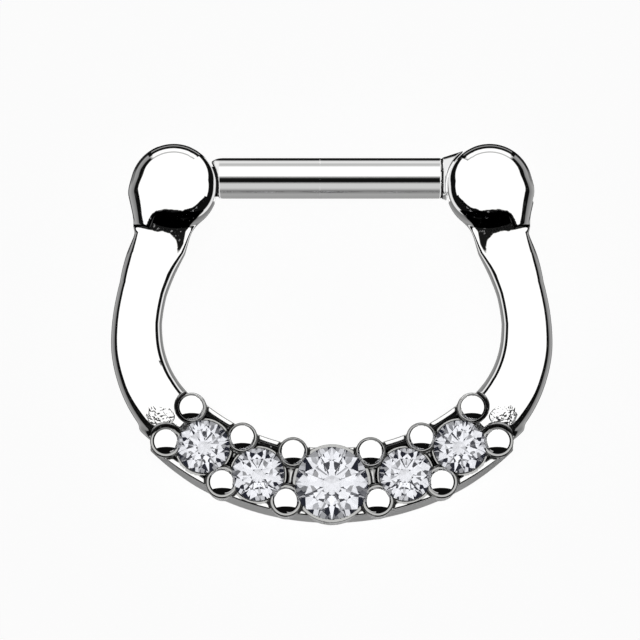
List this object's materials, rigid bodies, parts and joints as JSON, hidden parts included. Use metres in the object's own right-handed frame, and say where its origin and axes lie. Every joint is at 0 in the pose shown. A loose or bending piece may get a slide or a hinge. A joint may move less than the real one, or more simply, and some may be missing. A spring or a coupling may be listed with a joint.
{
  "type": "clicker ring",
  "caption": "Bowed body ring with a straight hinged bar that clicks into a ball at its other end, and a bead-set front of round stones.",
  "frame": {"origin": "on the floor below the middle of the ring's outline, with the ring lying on its back", "axes": "+X to the hinge ball, along the wearable bar; +Y from the setting to the bar; +Z out of the stones' tables, the ring's front"},
  "size_m": [0.0134, 0.0116, 0.0027],
  "materials": {
    "polished_steel": "mirror-polished surgical steel",
    "pin_steel": "ground steel pin",
    "clear_stone": "clear cut stone, polished facets"
  },
  "bodies": {
    "ring": {"hoop": "polished_steel", "hinge_pin": "pin_steel", "centre_stone": "clear_stone", "left_inner_stone": "clear_stone", "left_outer_stone": "clear_stone", "right_inner_stone": "clear_stone", "right_outer_stone": "clear_stone"},
    "bar": {"bar": "polished_steel"}
  },
  "joints": [
    {"name": "bar_hinge", "type": "hinge", "parent": "ring", "child": "bar", "pos_m": [0.00479, 0.00446, 0.00133], "axis": [0, 0, -1], "range_deg": [0, 100]}
  ]
}
